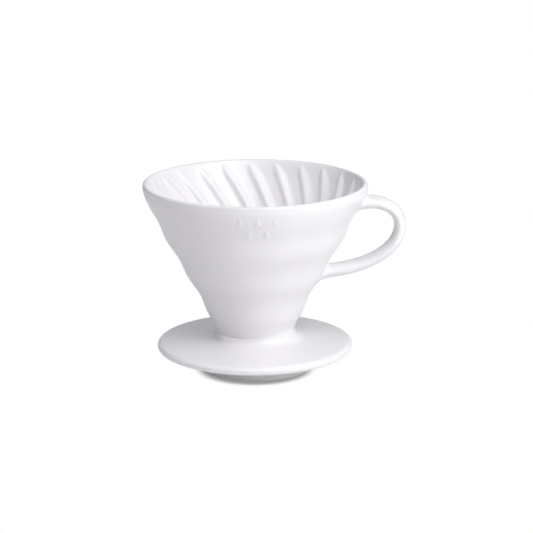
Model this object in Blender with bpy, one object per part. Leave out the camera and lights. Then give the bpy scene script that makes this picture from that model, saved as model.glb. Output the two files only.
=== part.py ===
"""A ceramic pour over dripper: a ribbed cone on a base plate, a foot ring, a strap handle and the fired slip
that joins them. The cone's axis is Z, the foot stands on z = 0 and the handle points to +X. Sizes are in
millimetres and become metres in add_solid."""

import math

import bpy
import numpy as np

MM = 0.001
GAP = 0.3  # clearance between neighbouring solids
FLAT_ANGLE = math.radians(35)  # edges sharper than this stay sharp

# Cone
RIM_RADIUS = 60.0
HEIGHT = 102.0
LIP_HALF_THICKNESS = 0.95
LIP_START = 152  # degrees: where the inner wall runs into the round of the lip
NECK_HEIGHT = 20.0
WALL_TOP = 100.0
WALL_RADII = (21.0, 31.7, 51.4, 60.0)  # Bezier radii of the outer wall, evenly spaced from the neck to WALL_TOP
OUTLET_RADIUS = 9.5
SPIGOT_RADIUS = 16.0  # the cone's lower end, which passes through the base plate
SHOULDER_HEIGHT = 18.6  # flat step between the outer wall and the spigot

# Ribs inside the cone
RIBS = 24
COLUMNS_PER_RIB = 4
RIB_TOP = 100.3
RIB_HEIGHT = 2.2
RIB_RISE = 4.4  # length over which a rib grows to two thirds of its height
RIB_HALF_WIDTH = 3.9
RIB_MOST_ANGLE = math.radians(6.6)  # a rib is never wider than this each side of its ridge
RIB_TWIST = math.radians(59)  # turn of a rib while the radius falls by a factor e
RIB_PHASE = math.radians(2.7)  # angle of the first ridge from +Y towards +X at PHASE_HEIGHT
PHASE_HEIGHT = 90.0
SHORT_RIB_END = 50.0  # every second rib fades out at this height
SHORT_RIB_FADE = 4.0

# Base plate and foot ring
PLATE_RADIUS = 53.2
PLATE_UNDERSIDE = 9.5
PLATE_EDGE_RADIUS = 2.25
PLATE_HUB_RADIUS = 29.0
PLATE_HUB_HEIGHT = 15.5
HUB_TOP_RADIUS = 23.5
HUB_TOP_HEIGHT = 17.2
FOOT_RADIUS = 32.0
FOOT_WALL = 3.6
FOOT_ROUNDING = 0.8
SEAT_MARGIN = 1.5  # how far the seat in the plate's underside reaches past the foot ring
SEAT_DEPTH = 0.3
ROUND_COLUMNS = 64

# Handle: two Bezier arcs in the XZ plane that meet at its farthest point
HANDLE_REACH = 78.5
HANDLE_TURN_HEIGHT = 78.5
UPPER_ARM = ((54.0, 89.8), (68.9, 93.9), (HANDLE_REACH, 86.9), (HANDLE_REACH, HANDLE_TURN_HEIGHT))
LOWER_ARM = ((HANDLE_REACH, HANDLE_TURN_HEIGHT), (HANDLE_REACH, 64.2), (60.7, 54.3), (37.0, 52.6))
HANDLE_HALF_THICKNESS = 3.2
HANDLE_HALF_WIDTH = 6.4
HANDLE_STATIONS = 11  # sections along each arm
HANDLE_SIDES = 16
UPPER_ARM_START = 0.22  # Bezier parameter where the handle proper begins
LOWER_ARM_END = 0.80
ROOT_FLARE = 1.35  # how much wider a slip root is on the cone than on the handle
ROOT_STATIONS = 6
ROOT_LENGTH = 0.14  # Bezier parameter from the handle's end to the middle of the root on the cone
ROOT_GAP = 0.45  # more than GAP, because both faces are made of flat facets


def bezier(points, t):
    """The point of a cubic Bezier curve at parameter t. It works on single numbers and on pairs."""
    start, leave, arrive, end = (np.asarray(point, float) for point in points)
    u = 1 - t
    return u**3 * start + 3 * u * u * t * leave + 3 * u * t * t * arrive + t**3 * end


def outer_radius(z):
    """Radius of the cone's outer wall at height z."""
    return float(bezier(WALL_RADII, (z - NECK_HEIGHT) / (WALL_TOP - NECK_HEIGHT)))


def arc_profile(centre_radius, centre_z, size, first, last, steps):
    """(radius, z) points on an arc, with angles in degrees counted from outwards towards up."""
    angles = np.radians(np.linspace(first, last, steps))
    return [(centre_radius + size * math.cos(a), centre_z + size * math.sin(a)) for a in angles]


def lip_profile(steps):
    """(radius, z) points over the lip, from the top of the inner wall to the outer wall."""
    centre_radius = RIM_RADIUS - LIP_HALF_THICKNESS
    return arc_profile(centre_radius, HEIGHT - LIP_HALF_THICKNESS, LIP_HALF_THICKNESS, LIP_START, 0, steps)


def inner_radius(z):
    """Radius of the inner wall between the ribs: a straight cone from the outlet up to the lip."""
    lip_radius, lip_height = lip_profile(2)[0]
    slope = (lip_radius - OUTLET_RADIUS) / (lip_height - PLATE_UNDERSIDE)
    return OUTLET_RADIUS + slope * (z - PLATE_UNDERSIDE)


def turn(z):
    """Angle of the first ridge at height z. The ribs cross the cone at one constant slope."""
    return RIB_PHASE + RIB_TWIST * math.log(inner_radius(PHASE_HEIGHT) / inner_radius(z))


def rib_half_angle(z):
    return min(RIB_HALF_WIDTH / inner_radius(z), RIB_MOST_ANGLE)


def rib_height(z, rib):
    """Height of a rib's ridge above the wall. The odd ribs are the short ones."""
    height = RIB_HEIGHT * (1 - math.exp(-max(RIB_TOP - z, 0) / RIB_RISE))
    if rib % 2:
        height *= min(max((z - SHORT_RIB_END) / SHORT_RIB_FADE, 0), 1)
    return height


def circle(radius, z, columns, phase=0.0):
    """A ring of points, clockwise from +Y as seen from above."""
    angles = phase + np.arange(columns) * math.tau / columns
    return np.stack([radius * np.sin(angles), radius * np.cos(angles), np.full(columns, z)], axis=1)


def wall_ring(radius, z):
    return circle(radius, z, RIBS * COLUMNS_PER_RIB, turn(z))


def ribbed_ring(z):
    """A ring of the inner wall: for each rib its ridge, its two feet and the middle of the valley."""
    pitch = math.tau / RIBS
    foot = rib_half_angle(z)
    points = []
    for rib in range(RIBS):
        middle = turn(z) + rib * pitch
        ridge_radius = inner_radius(z) - rib_height(z, rib)
        points.append((middle, ridge_radius))
        points.append((middle + foot, inner_radius(z)))
        points.append((middle + pitch / 2, inner_radius(z)))
        points.append((middle + pitch - foot, inner_radius(z)))
    return np.array([(radius * math.sin(angle), radius * math.cos(angle), z) for angle, radius in points])


def ring_faces(rings, columns):
    """Quads between each ring and the next one."""
    faces = []
    for row in range(rings - 1):
        for column in range(columns):
            beside = (column + 1) % columns
            low = row * columns
            high = low + columns
            faces.append((low + column, low + beside, high + beside, high + column))
    return faces


def glazed_ceramic(name, colour, roughness):
    material = bpy.data.materials.new(name)
    material.use_nodes = True
    shader = material.node_tree.nodes["Principled BSDF"]
    shader.inputs["Base Color"].default_value = (*colour, 1)
    shader.inputs["Roughness"].default_value = roughness
    shader.inputs["Metallic"].default_value = 0.0
    return material


def add_solid(name, points, faces, colour=(0.86, 0.85, 0.83), roughness=0.22):
    """Adds one closed mesh, in metres, smooth except at its real edges."""
    mesh = bpy.data.meshes.new(name)
    mesh.from_pydata((np.asarray(points) * MM).tolist(), [], faces)
    mesh.validate()
    mesh.shade_smooth()
    mesh.set_sharp_from_angle(angle=FLAT_ANGLE)
    mesh.materials.append(glazed_ceramic(name + "_material", colour, roughness))
    solid = bpy.data.objects.new(name, mesh)
    bpy.context.scene.collection.objects.link(solid)
    return solid


def add_ring_solid(name, rings, **look):
    """A solid around the axis. The rings go round its section once, and the last one meets the first."""
    columns = len(rings[0])
    faces = ring_faces(len(rings) + 1, columns)
    corners = len(rings) * columns
    closed = [tuple(corner % corners for corner in face) for face in faces]
    return add_solid(name, np.concatenate(rings), closed, **look)


def add_turned_solid(name, profile, **look):
    """A solid of revolution from a closed (radius, z) profile that runs down the outside and up the inside."""
    rings = [circle(radius, z, ROUND_COLUMNS) for radius, z in profile]
    return add_ring_solid(name, rings, **look)


def add_swept_solid(name, sections, **look):
    """A solid through a row of sections, with both ends closed by a flat fan."""
    columns = len(sections[0])
    faces = ring_faces(len(sections), columns)
    first = len(sections) * columns
    last = first + 1
    top = (len(sections) - 1) * columns
    for column in range(columns):
        beside = (column + 1) % columns
        faces.append((first, beside, column))
        faces.append((last, top + column, top + beside))
    points = np.concatenate([*sections, [sections[0].mean(axis=0)], [sections[-1].mean(axis=0)]])
    return add_solid(name, points, faces, **look)


def make_cone_cup():
    """The ribbed cone, with its outlet and its lip, as one moulded wall."""
    outside = [(outer_radius(z), z) for z in np.linspace(WALL_TOP - 2, NECK_HEIGHT, 12)]
    shoulder = [
        (outer_radius(NECK_HEIGHT) - 0.1, SHOULDER_HEIGHT),
        (SPIGOT_RADIUS, SHOULDER_HEIGHT),
        (SPIGOT_RADIUS, PLATE_UNDERSIDE),
    ]
    rings = [wall_ring(radius, z) for radius, z in lip_profile(6) + outside + shoulder]
    rings += [ribbed_ring(z) for z in np.linspace(PLATE_UNDERSIDE, RIB_TOP - 9, 13)]
    rings += [ribbed_ring(z) for z in (RIB_TOP - 4.5, RIB_TOP - 2, RIB_TOP)]
    return add_ring_solid("cone_cup", rings)


def hub_fillet(steps):
    """(radius, z) points of the hollow curve from the neck's joint down to the plate's top."""
    curve = (
        (HUB_TOP_RADIUS, HUB_TOP_HEIGHT),
        (HUB_TOP_RADIUS + 1.2, HUB_TOP_HEIGHT - 1.0),
        (HUB_TOP_RADIUS + 3.0, PLATE_HUB_HEIGHT + 0.2),
        (PLATE_HUB_RADIUS, PLATE_HUB_HEIGHT),
    )
    return [tuple(bezier(curve, t)) for t in np.linspace(0, 1, steps)]


def make_base_plate():
    """The plate that rests on the mug. Its flat underside has a shallow seat for the foot ring."""
    edge_centre = PLATE_RADIUS - PLATE_EDGE_RADIUS
    edge_height = PLATE_UNDERSIDE + PLATE_EDGE_RADIUS
    bore = SPIGOT_RADIUS + GAP
    profile = [(bore, HUB_TOP_HEIGHT)]
    profile += hub_fillet(5)
    profile += arc_profile(edge_centre, edge_height, PLATE_EDGE_RADIUS, 85, -90, 7)
    seat_radius = FOOT_RADIUS + SEAT_MARGIN
    seat_height = PLATE_UNDERSIDE + SEAT_DEPTH
    profile += [(seat_radius, PLATE_UNDERSIDE), (seat_radius - SEAT_DEPTH, seat_height), (bore, seat_height)]
    return add_turned_solid("base_plate", profile)


def make_foot_ring():
    """The ring that sits inside the mug. Its lower face stands on the table."""
    top = PLATE_UNDERSIDE + SEAT_DEPTH - GAP
    inside = FOOT_RADIUS - FOOT_WALL
    rounded = FOOT_ROUNDING
    profile = [(inside, top), (FOOT_RADIUS, top)]
    profile += arc_profile(FOOT_RADIUS - rounded, rounded, rounded, 0, -90, 4)
    profile += arc_profile(inside + rounded, rounded, rounded, -90, -180, 4)
    return add_turned_solid("foot_ring", profile, roughness=0.4)


def make_cone_slip_joint():
    """The ring of slip that fills the neck between the cone's shoulder and the plate's hub."""
    neck = outer_radius(NECK_HEIGHT) + GAP
    low = HUB_TOP_HEIGHT + GAP
    profile = [
        (SPIGOT_RADIUS + GAP, SHOULDER_HEIGHT - GAP),
        (neck, SHOULDER_HEIGHT - GAP),
        (neck, NECK_HEIGHT),
        (neck + 0.7, NECK_HEIGHT - 0.5),
        (neck + 1.3, NECK_HEIGHT - 1.3),
        (HUB_TOP_RADIUS - 0.2, low),
        (SPIGOT_RADIUS + GAP, low),
    ]
    return add_turned_solid("cone_slip_joint", profile)


def handle_section(arm, t, scale=1.0):
    """An oval section square to the handle's centreline."""
    centre = bezier(arm, t)
    along = bezier(arm, t + 1e-3) - bezier(arm, t - 1e-3)
    along /= np.linalg.norm(along)
    outwards = np.array([-along[1], along[0]])
    angles = np.arange(HANDLE_SIDES) * math.tau / HANDLE_SIDES
    across = HANDLE_HALF_THICKNESS * scale * np.cos(angles)
    points = centre + across[:, None] * outwards
    return np.stack([points[:, 0], -HANDLE_HALF_WIDTH * scale * np.sin(angles), points[:, 1]], axis=1)


def make_handle():
    upper = [handle_section(UPPER_ARM, t) for t in np.linspace(UPPER_ARM_START, 1, HANDLE_STATIONS)]
    lower = [handle_section(LOWER_ARM, t) for t in np.linspace(0, LOWER_ARM_END, HANDLE_STATIONS)]
    return add_swept_solid("handle", upper + lower[1:])


def on_cone(section):
    """The section pushed along X until it lies just off the cone's outer wall."""
    moved = section.copy()
    for point in moved:
        radius = outer_radius(point[2]) + ROOT_GAP
        point[0] = math.sqrt(radius**2 - point[1] ** 2)
    return moved


def make_root(name, arm, t, away):
    """A flared plug of slip between the handle's end, at parameter t, and the cone."""
    tip = handle_section(arm, t)
    along = bezier(arm, t + away * 1e-3) - bezier(arm, t)
    along *= GAP / np.linalg.norm(along)
    tip = tip + np.array([along[0], 0, along[1]])
    foot = on_cone(handle_section(arm, t + away * ROOT_LENGTH, ROOT_FLARE))
    sections = []
    for share in np.linspace(0, 1, ROOT_STATIONS):
        spread = share**2.2
        place = tip + (foot - tip) * spread
        place[:, 0] = tip[:, 0] + (foot[:, 0] - tip[:, 0]) * share
        sections.append(place)
    sections.append(on_cone(handle_section(arm, t + away * ROOT_LENGTH, ROOT_FLARE / 2)))
    if away < 0:
        sections.reverse()
    return add_swept_solid(name, sections)


def main():
    for old in list(bpy.data.objects):
        bpy.data.objects.remove(old)
    make_cone_cup()
    make_base_plate()
    make_foot_ring()
    make_cone_slip_joint()
    make_handle()
    make_root("handle_upper_slip_joint", UPPER_ARM, UPPER_ARM_START, -1)
    make_root("handle_lower_slip_joint", LOWER_ARM, LOWER_ARM_END, 1)


main()
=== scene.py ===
"""The looks of the ceramic dripper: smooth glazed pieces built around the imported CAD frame, with a pale
floor, soft studio light and the camera. Sizes named here are in millimetres; meshes are made in metres."""

import math

import bpy
import numpy as np
from mathutils import Matrix, Vector


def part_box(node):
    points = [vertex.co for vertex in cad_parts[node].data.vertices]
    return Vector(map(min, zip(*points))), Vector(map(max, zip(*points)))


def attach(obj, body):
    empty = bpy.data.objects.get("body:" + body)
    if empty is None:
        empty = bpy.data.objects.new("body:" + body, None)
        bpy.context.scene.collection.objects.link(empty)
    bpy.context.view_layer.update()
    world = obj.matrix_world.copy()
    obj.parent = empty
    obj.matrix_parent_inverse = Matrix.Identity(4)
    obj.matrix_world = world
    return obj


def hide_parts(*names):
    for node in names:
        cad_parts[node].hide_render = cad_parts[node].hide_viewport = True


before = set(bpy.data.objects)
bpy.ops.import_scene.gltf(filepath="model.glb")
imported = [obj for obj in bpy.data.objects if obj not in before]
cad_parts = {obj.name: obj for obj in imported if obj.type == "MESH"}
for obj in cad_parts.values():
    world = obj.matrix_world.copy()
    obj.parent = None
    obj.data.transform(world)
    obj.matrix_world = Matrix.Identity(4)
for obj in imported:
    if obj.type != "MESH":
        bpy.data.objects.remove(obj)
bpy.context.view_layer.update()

MM = 0.001
GAP = 0.3  # clearance between neighbouring CAD solids


def size_of(node):
    """The lowest and highest corner of a CAD node, in millimetres."""
    low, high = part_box(node)
    return low / MM, high / MM


# Driving dimensions, from the frame
CUP_LOW, CUP_HIGH = size_of("cone_cup")
PLATE_LOW, PLATE_HIGH = size_of("base_plate")
FOOT_HIGH = size_of("foot_ring")[1]
NECK_HIGH = size_of("cone_slip_joint")[1]
HANDLE_HIGH = size_of("handle")[1]
RIM_RADIUS = CUP_HIGH.y
HEIGHT = CUP_HIGH.z
OUTLET_HEIGHT = CUP_LOW.z
NECK_HEIGHT = NECK_HIGH.z
PLATE_RADIUS = PLATE_HIGH.x
PLATE_UNDERSIDE = PLATE_LOW.z
HUB_HEIGHT = PLATE_HIGH.z
FOOT_RADIUS = FOOT_HIGH.x

# Cone. A pair of heights is where something sets in or fades out.
LIP_HALF_THICKNESS = 1.3
LIP_START = 152  # degrees: where the inner wall runs into the lip's round
LIP_ROWS = 17
LIP_ROLL = 0.55  # how far the rolled lip stands in from the inner wall
LIP_ROLL_START = 93.0
INNER_SLOPE = 0.5294  # radius gained per height on the inner wall
WALL_TOP = HEIGHT - 2
WALL_RADII = (21.0, 31.2, 51.4, RIM_RADIUS)  # Bezier radii, evenly spaced from NECK_HEIGHT to WALL_TOP
WAVE_HEIGHT = 0.5  # the outer wall's throwing rings
WAVE_LENGTH = 20.5
WAVE_CREST = 51.2
WAVES_SET_IN = (NECK_HEIGHT + 1, NECK_HEIGHT + 9)
WAVES_FADE_OUT = (WALL_TOP - 14, WALL_TOP - 5)
LIP_SWELL = 0.55  # a soft roll just under the lip
LIP_SWELL_HEIGHT = 95.5
LIP_SWELL_SPREAD = 4.5
LIP_SWELL_FADES_OUT = (WALL_TOP - 2, WALL_TOP)
RIM_PULL = 1.3  # how far the handle's slip draws the rim outwards
RIM_PULL_SPREAD = 0.33  # radians
RIM_PULL_SETS_IN = (HEIGHT - 14, HEIGHT - 5)
RIM_PULL_EASES = (HEIGHT - 4, HEIGHT)
RIM_PULL_EASING = 0.5  # the share that is gone at the top
UNEVENNESS = 0.12  # how far the hand-finished outer wall dips, at most
DIPS_SET_IN = (NECK_HEIGHT + 2, NECK_HEIGHT + 14)
DIPS_FADE_OUT = (HEIGHT - 16, HEIGHT - 6)
DIPS_ROUND = (3, 2)  # how often two overlaid patterns repeat round the cone
DIPS_LEAN = (17, 23)  # height over which each pattern shifts by a radian
OUTLET_RADIUS = 9.5
SPIGOT_RADIUS = 16.0
SPIGOT_CHAMFER = 0.5
SHOULDER_HEIGHT = NECK_HEIGHT - 1.4
OUTSIDE_TOP = HEIGHT - 1.1  # the outer wall's first row, which overlaps the lip's round by 0.2
CLOSE_ROWS_OUTSIDE = 88  # above this height the rows lie closer together
CLOSE_ROWS_INSIDE = 84
OUTSIDE_ROWS = (44, 84)  # counts on both sides of that height, from the top down
INSIDE_ROWS = (75, 60)  # and from the bottom up

# Ribs
RIBS = 24
COLUMNS_PER_RIB = 20
RIB_TOP = 100.6
RIB_HEIGHT = 2.2
RIB_RISE = 4.4  # length over which a rib grows to about two thirds of its height
RIB_HALF_WIDTH = 5.0
RIB_MOST_ANGLE = math.radians(9)  # a rib is never wider than this on each side of its ridge
RIB_TIP = 5.0  # length of the pointed upper end
RIB_TIP_POINT = 0.65  # 0.5 is a round tip and 1 a straight-sided one
RIB_SOFTNESS = 3.0  # 1 is a steep round rib and 3 a ridge with hollow flanks
RIB_TWIST = math.radians(59)
RIB_PHASE = math.radians(2.7)  # ridge of the first rib, from +Y towards +X, at PHASE_HEIGHT
PHASE_HEIGHT = 90.0
SHORT_RIB_END = 48.0
SHORT_RIB_FADE = 7.0

# Base
PLATE_EDGE_RADIUS = 2.25
PLATE_EDGE_LENGTH = 3.4  # how far in the upper half of the edge's round reaches
PLATE_EDGE_START = 88  # degrees: where the top runs into the edge's round
PLATE_EDGE_ROWS = 23
PLATE_TOP_ROWS = 40
PLATE_TOP_MARGIN = 1  # from the top's last row to the edge's round
FOOT_WALL = 3.6
FOOT_ROUNDING = 0.8
FOOT_ROUNDING_ROWS = 8
FOOT_TAPER = 0.2  # how far the foot's outside leans in at its top
FOOT_TAPER_LENGTH = 3
BARE_FOOT_HEIGHT = 0.25  # the glaze is wiped off below this
HUB_RADIUS = 22.0
HUB_FOOT_HEIGHT = 16.05  # height of the plate's sloping top, carried on to the hub
PLATE_SLOPE = 0.0735
HUB_RISE = 0.35  # how far the top curves up to the hub
HUB_SPREAD = 3.5
HUB_BEVEL = 1  # how far the hub's flat top stands in from HUB_RADIUS
ROUND_COLUMNS = 288  # columns of the plate, the foot and the slip round the neck

# Slip round the neck, as (radius, height above the plate): the hollow fillet, the bead at the front left
# and the higher run at the front right
NECK_FILLET = ((21.1, 4.5), (21.05, 3.7), (21.15, 2.8), (21.7, 1.65), (23.0, 0.8), (24.8, 0.25), (26.8, 0.03))
NECK_BEAD = ((20.7, 3.8), (21.0, 3.2), (21.8, 2.9), (22.6, 2.1), (23.3, 0.8), (24.6, 0.25), (26.6, 0.03))
NECK_RUN = ((22.1, 6.6), (21.95, 5.2), (22.05, 3.9), (22.6, 2.3), (23.7, 1.15), (25.2, 0.4), (27.2, 0.03))
BEAD_MIDDLE = math.radians(232)
BEAD_SPREAD = math.radians(30)
RUN_MIDDLE = math.radians(132)
RUN_SPREAD = math.radians(40)
NECK_ROWS = 30
NECK_TOP_OVERLAP = 0.6  # how far the slip's top reaches in from the bead's outline
NECK_BORE_LOW = HUB_HEIGHT + 0.1
NECK_UNDERSIDE = PLATE_UNDERSIDE + 5.4  # hidden in the plate
NECK_UNDERSIDE_RADII = (NECK_FILLET[-1][0] - 0.2, HUB_RADIUS + 1)

# Handle
HANDLE_HALF_WIDTH = HANDLE_HIGH.y
HANDLE_HALF_THICKNESS = HANDLE_HALF_WIDTH / 2
REACH = HANDLE_HIGH.x - HANDLE_HALF_THICKNESS
TURN_HEIGHT = 78.5
UPPER_ARM = ((54.0, 89.8), (68.9, 93.9), (REACH, 86.9), (REACH, TURN_HEIGHT))
LOWER_ARM = ((REACH, TURN_HEIGHT), (REACH, 64.2), (60.7, 54.3), (37.0, 52.6))
UPPER_ARM_START = 0.22  # Bezier parameter where the strap begins
LOWER_ARM_END = 0.80
HANDLE_COLUMNS = 80
HANDLE_ROWS = 52  # along each arm
ROOT_THICKENING = 0.55  # how much thicker the arms are at their roots, each side

# Slip roots: the fillet's length on the handle and on the wall, each as (outer side, inner side, flanks)
UPPER_ROOT = ((6.0, 4.0, 3.0), (3.4, 2.6, 2.2))
LOWER_ROOT = ((5.5, 2.2, 5.0), (5.0, 1.6, 3.2))
ROOT_COLUMNS = 120
ROOT_ROWS = (10, 20)  # rows along the handle and round the fillet
ROOT_REACH = 0.5  # Bezier parameter within which an arm meets the wall
ROOT_STEPS = 401
MOST_FILLET_SHARE = 0.97  # the most of the way to the wall that the fillet takes up
ROOT_EDGE_DEPTH = 0.04  # how far under the glaze the fillet ends
ROOT_INSIDES = ((0.0, 0.6), (1.5, 1.2))  # two hidden end rows: how far back from the edge, and how deep

# Generic mark on the cone's front, in place of lettering: five raised droplets
MARK_PLACES = ((-7.2, 93.2), (1.8, 93.2), (10.8, 93.2), (-2.7, 86.4), (6.3, 86.4))  # across and height
DROPLET_HALF_WIDTH = 1.9
DROPLET_HALF_LENGTH = 2.7
DROPLET_RELIEF = 0.3
DROPLET_DEPTH = 0.4  # how far it reaches into the wall
DROPLET_BELLY = 1.3  # brings the outline's widest place up to DROPLET_HALF_WIDTH
DROPLET_COLUMNS = 48
DROPLET_ROWS = 12
DROPLET_LAST_ROW = 0.06  # the smallest row, as a share of the outline


def smooth(low, high, value):
    """0 below low, 1 above high and an even curve in between."""
    share = np.clip((value - low) / (high - low), 0, 1)
    return share * share * (3 - 2 * share)


def bell(value, middle, spread):
    """1 at the middle and less on both sides of it."""
    return np.exp(-(((value - middle) / spread) ** 2))


def full_circle(columns):
    """Evenly spaced angles, once round."""
    return np.arange(columns) * math.tau / columns


def bezier(points, t):
    """Points of a cubic Bezier curve. t is a number or an array, and points are numbers or pairs."""
    start, leave, arrive, end = (np.asarray(point, float) for point in points)
    t = np.asarray(t, float)[..., None]
    u = 1 - t
    curve = u**3 * start + 3 * u * u * t * leave + 3 * u * t * t * arrive + t**3 * end
    return curve if start.ndim else curve[..., 0]


# ---------------------------------------------------------------- the cone's laws


def outer_radius(z):
    """Radius of the outer wall with its soft throwing rings, which fade out towards both ends."""
    z = np.asarray(z, float)
    wall = bezier(WALL_RADII, np.minimum((z - NECK_HEIGHT) / (WALL_TOP - NECK_HEIGHT), 1))
    fade = smooth(*WAVES_SET_IN, z) * (1 - smooth(*WAVES_FADE_OUT, z))
    waves = WAVE_HEIGHT * fade * np.cos(math.tau * (z - WAVE_CREST) / WAVE_LENGTH)
    swell = LIP_SWELL * bell(z, LIP_SWELL_HEIGHT, LIP_SWELL_SPREAD)
    return wall + waves + swell * (1 - smooth(*LIP_SWELL_FADES_OUT, z))


def rim_pull(z, angle):
    """The rim bulges a little where the handle's slip meets it. Angles run clockwise from +Y, so +X is 90."""
    height = smooth(*RIM_PULL_SETS_IN, z) * (1 - RIM_PULL_EASING * smooth(*RIM_PULL_EASES, z))
    return RIM_PULL * height * bell(np.mod(angle, math.tau), math.pi / 2, RIM_PULL_SPREAD)


def wall_radius(z, angle):
    """Radius of the outer wall as it was finished by hand: slightly uneven, and drawn out at the handle."""
    first = np.sin(DIPS_ROUND[0] * angle + z / DIPS_LEAN[0])
    second = np.cos(DIPS_ROUND[1] * angle - z / DIPS_LEAN[1])
    lumps = (1 + first * second) / 2
    dips = UNEVENNESS * lumps * smooth(*DIPS_SET_IN, z) * (1 - smooth(*DIPS_FADE_OUT, z))
    return outer_radius(z) + rim_pull(z, angle) - dips


def inner_radius(z):
    """Radius of the inner wall between the ribs: a straight cone from the outlet up."""
    return OUTLET_RADIUS + INNER_SLOPE * (z - OUTLET_HEIGHT)


def lip_roll(z):
    """How far the inner wall leans in towards the rolled lip."""
    return LIP_ROLL * smooth(LIP_ROLL_START, RIB_TOP, z)


def turn(z):
    """Angle of the first rib's ridge at height z, from +Y towards +X. Ribs cross the cone at one slope."""
    return RIB_PHASE + RIB_TWIST * np.log(inner_radius(PHASE_HEIGHT) / inner_radius(z))


def rib_relief(z, angle):
    """Height of the ribs at height z, for angles from the first rib's ridge. The odd ribs are short."""
    pitch = math.tau / RIBS
    rib = np.round(angle / pitch)
    away = np.abs(angle - rib * pitch)
    half = min(RIB_HALF_WIDTH / inner_radius(z), RIB_MOST_ANGLE)
    half *= np.clip((RIB_TOP - z) / RIB_TIP, 1e-3, 1) ** RIB_TIP_POINT
    height = RIB_HEIGHT * (1 - math.exp(-max(RIB_TOP - z, 0) / RIB_RISE))
    fade = smooth(SHORT_RIB_END, SHORT_RIB_END + SHORT_RIB_FADE, z)
    height = np.where(rib % 2 == 1, height * fade, height)
    across = np.cos(np.clip(away / half, 0, 1) * math.pi / 2) ** RIB_SOFTNESS
    return height * np.where(away < half, across, 0)


def plate_top(radius):
    """Height of the plate's top: a slight slope outwards, which curves up towards the hub."""
    away = np.asarray(radius, float) - HUB_RADIUS
    return HUB_FOOT_HEIGHT - PLATE_SLOPE * away + HUB_RISE * np.exp(-away / HUB_SPREAD)


# ---------------------------------------------------------------- mesh helpers


def ring(radius, z, angles):
    """Points round the axis, clockwise from +Y as seen from above."""
    height = np.broadcast_to(z, angles.shape)
    return np.stack([radius * np.sin(angles), radius * np.cos(angles), height], axis=1)


def row_heights(first, middle, last, rows):
    """Heights from first to last. Their spacing changes at the middle, and rows counts them on each side."""
    return np.concatenate([np.linspace(first, middle, rows[0]), np.linspace(middle, last, rows[1])[1:]])


def grid_faces(rows, columns, closed):
    """Quads of a grid that is closed round its columns and, if asked, round its rows as well."""
    row = np.arange(rows if closed else rows - 1)[:, None]
    column = np.arange(columns)[None, :]
    beside = (column + 1) % columns
    above = (row + 1) % rows
    quads = np.stack(
        np.broadcast_arrays(
            row * columns + column, row * columns + beside, above * columns + beside, above * columns + column
        ),
        axis=-1,
    )
    return quads.reshape(-1, 4).tolist()


def add_piece(name, points, faces, material, nodes=(), slot="glaze", sharp=40):
    """Adds a closed mesh that rides on the root body and stands for the given CAD nodes."""
    mesh = bpy.data.meshes.new(name)
    mesh.from_pydata((np.asarray(points) * MM).tolist(), [], faces)
    mesh.validate()
    mesh.shade_smooth()
    mesh.set_sharp_from_angle(angle=math.radians(sharp))
    mesh.materials.append(material)
    piece = bpy.data.objects.new(name, mesh)
    bpy.context.scene.collection.objects.link(piece)
    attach(piece, "root")
    if nodes:
        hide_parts(*nodes)
    return piece


def add_rings(name, rings, material, **more):
    """A solid round the axis, whose rings go once round its section."""
    columns = len(rings[0])
    return add_piece(name, np.concatenate(rings), grid_faces(len(rings), columns, True), material, **more)


def add_sweep(name, sections, material, **more):
    """A solid through a row of sections, with a fan at each end."""
    columns = len(sections[0])
    rows = len(sections)
    faces = grid_faces(rows, columns, False)
    first = rows * columns
    top = (rows - 1) * columns
    for column in range(columns):
        beside = (column + 1) % columns
        faces.append((first, beside, column))
        faces.append((first + 1, top + column, top + beside))
    points = np.concatenate([*sections, [sections[0].mean(axis=0)], [sections[-1].mean(axis=0)]])
    return add_piece(name, points, faces, material, **more)


def arc(centre_radius, centre_z, size, first, last, steps):
    """(radius, z) points on an arc, with angles in degrees counted from outwards towards up."""
    angles = np.radians(np.linspace(first, last, steps))
    return [(centre_radius + size * math.cos(a), centre_z + size * math.sin(a)) for a in angles]


def spline(points, steps):
    """A smooth curve through a few (radius, z) points."""
    points = np.asarray(points, float)
    padded = np.vstack([2 * points[0] - points[1], points, 2 * points[-1] - points[-2]])
    curve = []
    for place in np.linspace(0, len(points) - 1, steps):
        start = min(int(place), len(points) - 2)
        t = place - start
        a, b, c, d = padded[start : start + 4]
        straight = 2 * b + (c - a) * t
        square = (2 * a - 5 * b + 4 * c - d) * t**2
        cube = (3 * b - a - 3 * c + d) * t**3
        curve.append(tuple(0.5 * (straight + square + cube)))
    return curve


def turned(name, profile, material, **more):
    """A solid of revolution from a closed (radius, z) profile."""
    angles = full_circle(ROUND_COLUMNS)
    return add_rings(name, [ring(radius, z, angles) for radius, z in profile], material, **more)


# ---------------------------------------------------------------- materials

TINT_SCALE = 38.0  # a noise scale is the number of its cells per metre
GLOSS_SCALE = 160.0
GLOSS_LESS = 0.04  # how far the roughness varies down and up
GLOSS_MORE = 0.05
PEEL_SCALE = 420.0
PEEL_STRENGTH = 0.10
PEEL_DEPTH = 0.08
COAT_ROUGHNESS = 0.2


def node(tree, kind, links=(), **values):
    """Adds a shader node. values set its properties or inputs; links are (input name, output socket)."""
    made = tree.nodes.new(kind)
    for key, value in values.items():
        if hasattr(made, key):
            setattr(made, key, value)
        else:
            made.inputs[key.replace("_", " ")].default_value = value
    for name, socket in links:
        tree.links.new(socket, made.inputs[name])
    return made


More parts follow.
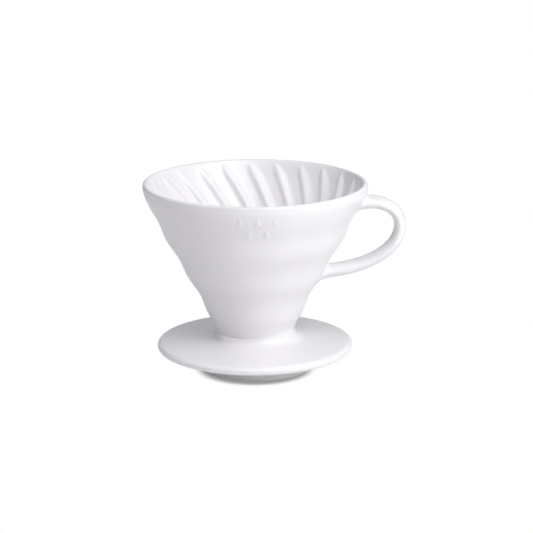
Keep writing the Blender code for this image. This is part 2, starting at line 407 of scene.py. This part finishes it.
def ceramic(name, tone, deep, roughness, coat):
    """Fired ceramic: a white body under a glaze whose tone, gloss and surface vary slightly."""
    material = bpy.data.materials.new(name)
    material.use_nodes = True
    tree = material.node_tree
    shader = tree.nodes["Principled BSDF"]
    place = node(tree, "ShaderNodeTexCoord").outputs["Object"]

    def noise(scale, detail):
        made = node(tree, "ShaderNodeTexNoise", [("Vector", place)], Scale=scale, Detail=detail)
        return made.outputs["Fac"]

    cloud = noise(TINT_SCALE, 3.0)
    mix = node(tree, "ShaderNodeMix", [("Factor", cloud)], data_type="RGBA")
    mix.inputs["A"].default_value = (*tone, 1)
    mix.inputs["B"].default_value = (*deep, 1)
    tree.links.new(mix.outputs["Result"], shader.inputs["Base Color"])
    gloss = noise(GLOSS_SCALE, 2.0)
    range_node = node(tree, "ShaderNodeMapRange", [("Value", gloss)])
    range_node.inputs["To Min"].default_value = roughness - GLOSS_LESS
    range_node.inputs["To Max"].default_value = roughness + GLOSS_MORE
    tree.links.new(range_node.outputs["Result"], shader.inputs["Roughness"])
    peel = noise(PEEL_SCALE, 2.0)
    bump = node(tree, "ShaderNodeBump", [("Height", peel)], Strength=PEEL_STRENGTH, Distance=PEEL_DEPTH * MM)
    tree.links.new(bump.outputs["Normal"], shader.inputs["Normal"])
    shader.inputs["Coat Weight"].default_value = coat
    shader.inputs["Coat Roughness"].default_value = COAT_ROUGHNESS
    return material


GLAZE = ceramic("white_glaze", (0.80, 0.795, 0.80), (0.775, 0.765, 0.77), 0.37, 0.4)
FOOT_CLAY = ceramic("bare_foot_clay", (0.74, 0.72, 0.69), (0.68, 0.65, 0.61), 0.75, 0.0)


# ---------------------------------------------------------------- pieces


def make_cone_cup():
    """The cone: outer wall, lip, ribbed inner wall and outlet, as one closed skin."""
    even = full_circle(RIBS * COLUMNS_PER_RIB)

    def wall(radius, z, relief=0.0):
        angles = even + turn(z)
        return ring(radius - relief + rim_pull(z, angles), z, angles)

    def outside(z):
        angles = even + turn(z)
        return ring(wall_radius(z, angles), z, angles)

    lip_centre = (RIM_RADIUS - LIP_HALF_THICKNESS, HEIGHT - LIP_HALF_THICKNESS)
    rings = [wall(radius, z) for radius, z in arc(*lip_centre, LIP_HALF_THICKNESS, LIP_START, 0, LIP_ROWS)]
    heights = row_heights(OUTSIDE_TOP, CLOSE_ROWS_OUTSIDE, SHOULDER_HEIGHT, OUTSIDE_ROWS)
    rings += [outside(z) for z in heights]
    rings += [wall(SPIGOT_RADIUS, SHOULDER_HEIGHT), wall(SPIGOT_RADIUS, OUTLET_HEIGHT + SPIGOT_CHAMFER)]
    rings += [wall(SPIGOT_RADIUS - SPIGOT_CHAMFER, OUTLET_HEIGHT)]
    heights = row_heights(OUTLET_HEIGHT, CLOSE_ROWS_INSIDE, RIB_TOP, INSIDE_ROWS)
    rings += [wall(inner_radius(z), z, rib_relief(z, even) + lip_roll(z)) for z in heights]
    add_rings("cone_cup_glazed", rings, GLAZE, nodes=["cone_cup"])


def make_base_plate():
    """The plate, with its flared hub and its soft round edge, whose upper half is drawn out inwards."""
    edge_centre = PLATE_RADIUS - PLATE_EDGE_RADIUS
    edge_height = PLATE_UNDERSIDE + PLATE_EDGE_RADIUS
    longer = PLATE_EDGE_LENGTH / PLATE_EDGE_RADIUS
    rounded = arc(edge_centre, edge_height, PLATE_EDGE_RADIUS, PLATE_EDGE_START, -90, PLATE_EDGE_ROWS)
    edge = []
    for radius, z in rounded:
        inwards = (PLATE_RADIUS - radius) * (longer if z > edge_height else 1)
        edge.append((PLATE_RADIUS - inwards, z))
    bore = SPIGOT_RADIUS + GAP
    profile = [(bore, HUB_HEIGHT), (HUB_RADIUS - HUB_BEVEL, HUB_HEIGHT)]
    for radius in np.linspace(HUB_RADIUS, edge[0][0] - PLATE_TOP_MARGIN, PLATE_TOP_ROWS):
        profile.append((radius, float(plate_top(radius))))
    profile += edge
    underside = (edge_centre - 4, FOOT_RADIUS + 3, FOOT_RADIUS - 1, bore)
    profile += [(radius, PLATE_UNDERSIDE) for radius in underside]
    turned("base_plate_glazed", profile, GLAZE, nodes=["base_plate"])


def make_foot_ring():
    """The foot ring, glazed down to the bare clay it stands on."""
    inside = FOOT_RADIUS - FOOT_WALL
    top = FOOT_HIGH.z + GAP
    profile = [(inside, top), (FOOT_RADIUS - FOOT_TAPER, top), (FOOT_RADIUS, top - FOOT_TAPER_LENGTH)]
    outer_centre = (FOOT_RADIUS - FOOT_ROUNDING, FOOT_ROUNDING)
    inner_centre = (inside + FOOT_ROUNDING, FOOT_ROUNDING)
    profile += arc(*outer_centre, FOOT_ROUNDING, 0, -90, FOOT_ROUNDING_ROWS)
    profile += arc(*inner_centre, FOOT_ROUNDING, -90, -180, FOOT_ROUNDING_ROWS)
    foot = turned("foot_ring_glazed", profile, GLAZE, nodes=["foot_ring"], slot="foot")
    foot.data.materials.append(FOOT_CLAY)
    for face in foot.data.polygons:
        face.material_index = int(face.center.z < BARE_FOOT_HEIGHT * MM)


def make_neck_joint():
    """Slip round the neck: a hollow fillet with a bead at the front left and a higher run at the right."""
    angles = full_circle(ROUND_COLUMNS)
    bead = bell(angles, BEAD_MIDDLE, BEAD_SPREAD)
    run = bell(angles, RUN_MIDDLE, RUN_SPREAD)
    inside = SPIGOT_RADIUS + GAP
    rings = [ring(inside, NECK_BORE_LOW, angles), ring(inside, SHOULDER_HEIGHT, angles)]
    rings += [ring(NECK_BEAD[0][0] - NECK_TOP_OVERLAP, SHOULDER_HEIGHT, angles)]
    profiles = [spline(points, NECK_ROWS) for points in (NECK_FILLET, NECK_BEAD, NECK_RUN)]
    for hollow, full, high in zip(*profiles):
        radius, above = (a + bead * (b - a) + run * (c - a) for a, b, c in zip(hollow, full, high))
        rings.append(ring(radius, plate_top(radius) + above, angles))
    rings += [ring(radius, NECK_UNDERSIDE, angles) for radius in NECK_UNDERSIDE_RADII]
    add_rings("neck_slip_joint", rings, GLAZE, nodes=["cone_slip_joint"], sharp=60)


def handle_section(arm, t, angles):
    """An oval section of the handle, which thickens towards its two roots."""
    centre = bezier(arm, t)
    along = bezier(arm, t + 1e-3) - bezier(arm, t - 1e-3)
    along /= np.linalg.norm(along)
    outwards = np.array([-along[1], along[0]])
    from_turn = 1 - t if arm is UPPER_ARM else t
    across = (HANDLE_HALF_THICKNESS + ROOT_THICKENING * from_turn**2) * np.cos(angles)
    points = centre + across[:, None] * outwards
    return np.stack([points[:, 0], -HANDLE_HALF_WIDTH * np.sin(angles), points[:, 1]], axis=1)


def handle_points(arm, places, angles):
    """One point of the handle's skin for each angle, each at its own place along the arm."""
    return np.array([handle_section(arm, t, angles[c : c + 1])[0] for c, t in enumerate(places)])


def make_handle():
    """The strap between its two roots."""
    angles = full_circle(HANDLE_COLUMNS)
    upper = [handle_section(UPPER_ARM, t, angles) for t in np.linspace(UPPER_ARM_START, 1, HANDLE_ROWS)]
    lower = [handle_section(LOWER_ARM, t, angles) for t in np.linspace(0, LOWER_ARM_END, HANDLE_ROWS)]
    add_sweep("handle_strap", upper + lower[1:], GLAZE, nodes=["handle"], sharp=60)


def on_wall(points, depth):
    """The points pushed along X until they lie at a depth under the cone's outer wall."""
    moved = np.array(points)
    angle = np.arctan2(moved[..., 0], moved[..., 1])
    radius = wall_radius(moved[..., 2], angle) - depth
    moved[..., 0] = np.sqrt(radius**2 - moved[..., 1] ** 2)
    return moved


def way_to_wall(arm, start, away, angles):
    """How far the arm's skin runs on, as a Bezier parameter, before it goes into the cone at each angle."""
    steps = np.linspace(0, ROOT_REACH, ROOT_STEPS)
    lines = np.array([handle_section(arm, start + away * step, angles) for step in steps])
    clear = np.hypot(lines[..., 0], lines[..., 1]) - outer_radius(lines[..., 2])
    after = np.argmax(clear < 0, axis=0)
    column = np.arange(len(angles))
    here = clear[after, column]
    before = clear[after - 1, column]
    return steps[after - 1] + (steps[1] - steps[0]) * before / (before - here)


def around(angles, outer, inner, flank):
    """A length that changes evenly round the oval, from its outer and inner side to its two flanks."""
    side = np.where(np.cos(angles) > 0, outer, inner)
    return flank + (side - flank) * np.cos(angles) ** 2


def make_root(name, node_name, arm, start, away, along, spread):
    """A slip root: the handle's oval runs on to the cone and turns onto its wall in a hollow fillet.

    along and spread give its length on the handle and on the wall, as (outer side, inner side, flanks).
    """
    angles = full_circle(ROOT_COLUMNS)
    way = way_to_wall(arm, start, away, angles)
    meets = handle_points(arm, start + away * way, angles)
    length = np.linalg.norm(meets - handle_section(arm, start, angles), axis=1)
    share = np.minimum(around(angles, *along) / length, MOST_FILLET_SHARE)
    middle = np.array([bezier(arm, start + away * value) for value in way])
    out = meets - np.insert(middle, 1, 0, axis=1)
    out /= np.linalg.norm(out, axis=1, keepdims=True)
    ends = on_wall(meets + out * around(angles, *spread)[:, None], ROOT_EDGE_DEPTH)
    sections = []
    for part in np.linspace(0, 1, ROOT_ROWS[0]):
        sections.append(handle_points(arm, start + away * way * (1 - share) * part, angles))
    leaves = sections.pop()
    for t in np.linspace(0, 1, ROOT_ROWS[1]):
        sections.append((1 - t) ** 2 * leaves + 2 * t * (1 - t) * meets + t**2 * ends)
    sections += [on_wall(ends - out * back, depth) for back, depth in ROOT_INSIDES]
    if away < 0:
        sections = sections[::-1]
    add_sweep(name, sections, GLAZE, nodes=[node_name], sharp=60)


def make_droplet(name, across, height):
    """A low dome with a teardrop outline on the front of the cone."""
    angles = full_circle(DROPLET_COLUMNS)
    width = -DROPLET_HALF_WIDTH * np.sin(angles) * np.sin(angles / 2) * DROPLET_BELLY
    length = DROPLET_HALF_LENGTH * np.cos(angles)
    shares = np.linspace(1, DROPLET_LAST_ROW, DROPLET_ROWS)
    rows = [(1, -DROPLET_DEPTH)] + [(share, DROPLET_RELIEF * (1 - share * share)) for share in shares]
    sections = []
    for share, proud in rows:
        x = across + share * width
        z = height + share * length
        radius = wall_radius(z, math.pi - np.arcsin(x / outer_radius(z))) + proud
        sections.append(np.stack([x, -np.sqrt(radius**2 - x**2), z], axis=1))
    add_sweep(name, sections, GLAZE, sharp=60)


# ---------------------------------------------------------------- studio

FLOOR_HALF_SIZE = 4000.0
FLOOR_BOUNCE = 0.9  # how much light the white sweep sends back to the dripper
FLOOR_GLOW = 0.12  # light that the sweep itself sends up under the plate
GLOW_REACH = (45.0, 70.0)  # the glow fades out between these radii
CONTACT_EDGE = (31.0, 33.5, 0.5)  # painted shade round the foot, not cast by the lamps: inner and outer radius, and the light left in it
CONTACT_FRONT = (26.3, 35.0, 0.31)  # wider painted shade that lies towards the camera
CONTACT_SHIFT = 7.4
AIM_HEIGHT = 50.0  # the point on the axis that the lights and the camera are placed round
SOFTBOX_DISTANCE = 1100.0
SOFTBOX_SIZE = 800.0
NEUTRAL = (1.0, 0.98, 0.97)
COOL = (0.91, 0.97, 1.0)
GREENISH = (0.80, 1.0, 0.72)
LILAC = (0.97, 0.92, 1.0)
DEEP_LILAC = (1.0, 0.80, 1.0)
CAMERA_ELEVATION = math.radians(14.8)
CAMERA_ROLL = math.radians(-0.2)
CAMERA_DISTANCE = 1199.0
CAMERA_RIGHT = 6.4  # how far the camera is shifted in its own frame, to the right and up
CAMERA_UP = 4.9
CAMERA_CLIP_END = 20000.0
LENS = 149.2
SENSOR_WIDTH = 36


def floor_ring(tree, inner, outer, inside, outside, shift=0.0):
    """A value that runs from inside to outside between two radii round a point in front of the axis."""
    place = node(tree, "ShaderNodeTexCoord").outputs["Object"]
    moved = node(tree, "ShaderNodeVectorMath", [("Vector", place)], operation="ADD")
    moved.inputs[1].default_value = (0, shift * MM, 0)
    away = node(tree, "ShaderNodeVectorMath", [("Vector", moved.outputs["Vector"])], operation="LENGTH")
    distance = [("Value", away.outputs["Value"])]
    shade = node(tree, "ShaderNodeMapRange", distance, interpolation_type="SMOOTHERSTEP")
    ends = {"From Min": inner * MM, "From Max": outer * MM, "To Min": inside, "To Max": outside}
    for name, value in ends.items():
        shade.inputs[name].default_value = value
    return shade.outputs["Result"]


def floor_material():
    """Bounces soft light, looks evenly overexposed apart from a shade painted round the foot, and is
    see-through from below."""
    material = bpy.data.materials.new("pale_floor")
    material.use_nodes = True
    tree = material.node_tree
    tree.nodes.remove(tree.nodes["Principled BSDF"])
    # painted shade: two radial ramps round the foot darken what the camera sees of the floor
    shades = [floor_ring(tree, *CONTACT_EDGE, 1.0), floor_ring(tree, *CONTACT_FRONT, 1.0, CONTACT_SHIFT)]
    darker = node(tree, "ShaderNodeMath", operation="MINIMUM")
    for socket, shade in zip(darker.inputs, shades):
        tree.links.new(shade, socket)
    # what the camera sees of the floor: white emission with the painted shade round the foot
    seen = node(tree, "ShaderNodeEmission", [("Color", darker.outputs["Value"])])
    bounce = node(tree, "ShaderNodeBsdfDiffuse", Color=(FLOOR_BOUNCE, FLOOR_BOUNCE, FLOOR_BOUNCE, 1))
    glow = node(tree, "ShaderNodeEmission", [("Strength", floor_ring(tree, *GLOW_REACH, FLOOR_GLOW, 0.0))])
    sent = node(tree, "ShaderNodeAddShader")
    for socket, part in zip(sent.inputs, (bounce.outputs["BSDF"], glow.outputs["Emission"])):
        tree.links.new(part, socket)
    direct = node(tree, "ShaderNodeLightPath").outputs["Is Camera Ray"]
    mix = node(tree, "ShaderNodeMixShader", [("Fac", direct)])
    tree.links.new(sent.outputs["Shader"], mix.inputs[1])
    tree.links.new(seen.outputs["Emission"], mix.inputs[2])
    below = node(tree, "ShaderNodeNewGeometry").outputs["Backfacing"]
    shown = node(tree, "ShaderNodeMixShader", [("Fac", below)])
    tree.links.new(mix.outputs["Shader"], shown.inputs[1])
    tree.links.new(node(tree, "ShaderNodeBsdfTransparent").outputs["BSDF"], shown.inputs[2])
    tree.links.new(shown.outputs["Shader"], tree.nodes["Material Output"].inputs["Surface"])
    return material


def make_floor():
    """The white sweep that the dripper stands on."""
    mesh = bpy.data.meshes.new("studio_floor")
    half = FLOOR_HALF_SIZE * MM
    corners = [(-half, -half, 0), (half, -half, 0), (half, half, 0), (-half, half, 0)]
    mesh.from_pydata(corners, [], [(0, 1, 2, 3)])
    mesh.materials.append(floor_material())
    floor = bpy.data.objects.new("studio_floor", mesh)
    bpy.context.scene.collection.objects.link(floor)


def add_softbox(name, azimuth, elevation, power, tint):
    """A square area light aimed at the dripper. Azimuth 0 is the camera's side and 90 the handle's."""
    light = bpy.data.lights.new(name, "AREA")
    light.shape = "SQUARE"
    light.size = SOFTBOX_SIZE * MM
    light.energy = power
    light.color = tint
    lamp = bpy.data.objects.new(name, light)
    bpy.context.scene.collection.objects.link(lamp)
    a, e = math.radians(azimuth), math.radians(elevation)
    away = Vector((math.sin(a) * math.cos(e), -math.cos(a) * math.cos(e), math.sin(e)))
    lamp.location = away * (SOFTBOX_DISTANCE * MM) + Vector((0, 0, AIM_HEIGHT * MM))
    lamp.rotation_mode = "QUATERNION"
    lamp.rotation_quaternion = away.to_track_quat("Z", "Y")


def make_lights():
    """Softboxes round the table, with azimuth, elevation, power and tint. Their overlaps tint the glaze."""
    boxes = {
        "key": (55, 38, 2.7, GREENISH),
        "key_front": (30, 38, 6.0, LILAC),
        "key_low": (55, 20, 3.8, LILAC),
        "overhead": (15, 62, 2.4, COOL),
        "left": (-100, 38, 2.3, COOL),
        "left_front": (-60, 38, 1.45, DEEP_LILAC),
        "left_top": (-90, 62, 1.2, NEUTRAL),
        "right": (110, 38, 2.25, DEEP_LILAC),
        "right_back": (150, 20, 1.55, COOL),
        "back": (190, 20, 1.0, COOL),
    }
    for name, (azimuth, elevation, power, tint) in boxes.items():
        add_softbox(name + "_softbox", azimuth, elevation, power, tint)


def make_backdrop():
    """A white backdrop that only the camera sees, so that the softboxes alone light the dripper."""
    world = bpy.data.worlds.new("studio")
    bpy.context.scene.world = world
    world.use_nodes = True
    tree = world.node_tree
    tree.nodes["Background"].inputs["Color"].default_value = (1, 1, 1, 1)
    direct = node(tree, "ShaderNodeLightPath").outputs["Is Camera Ray"]
    tree.links.new(direct, tree.nodes["Background"].inputs["Strength"])


def make_camera():
    """A long lens a little above the rim's height, from the front."""
    data = bpy.data.cameras.new("camera")
    data.lens = LENS
    data.sensor_width = SENSOR_WIDTH
    data.clip_end = CAMERA_CLIP_END * MM
    camera = bpy.data.objects.new("camera", data)
    bpy.context.scene.collection.objects.link(camera)
    turned_up = Matrix.Rotation(math.pi / 2 - CAMERA_ELEVATION, 4, "X")
    offset = turned_up @ Vector((CAMERA_RIGHT * MM, CAMERA_UP * MM, CAMERA_DISTANCE * MM))
    place = Matrix.Translation(offset + Vector((0, 0, AIM_HEIGHT * MM)))
    camera.matrix_world = place @ turned_up @ Matrix.Rotation(CAMERA_ROLL, 4, "Z")
    bpy.context.scene.camera = camera


make_cone_cup()
make_base_plate()
make_foot_ring()
make_neck_joint()
make_handle()
make_root("handle_upper_root", "handle_upper_slip_joint", UPPER_ARM, UPPER_ARM_START, -1, *UPPER_ROOT)
make_root("handle_lower_root", "handle_lower_slip_joint", LOWER_ARM, LOWER_ARM_END, 1, *LOWER_ROOT)
for number, (across, height) in enumerate(MARK_PLACES, 1):
    make_droplet(f"droplet_mark_{number}", across, height)
make_floor()
make_lights()
make_backdrop()
make_camera()
bpy.context.scene.view_settings.view_transform = "Standard"
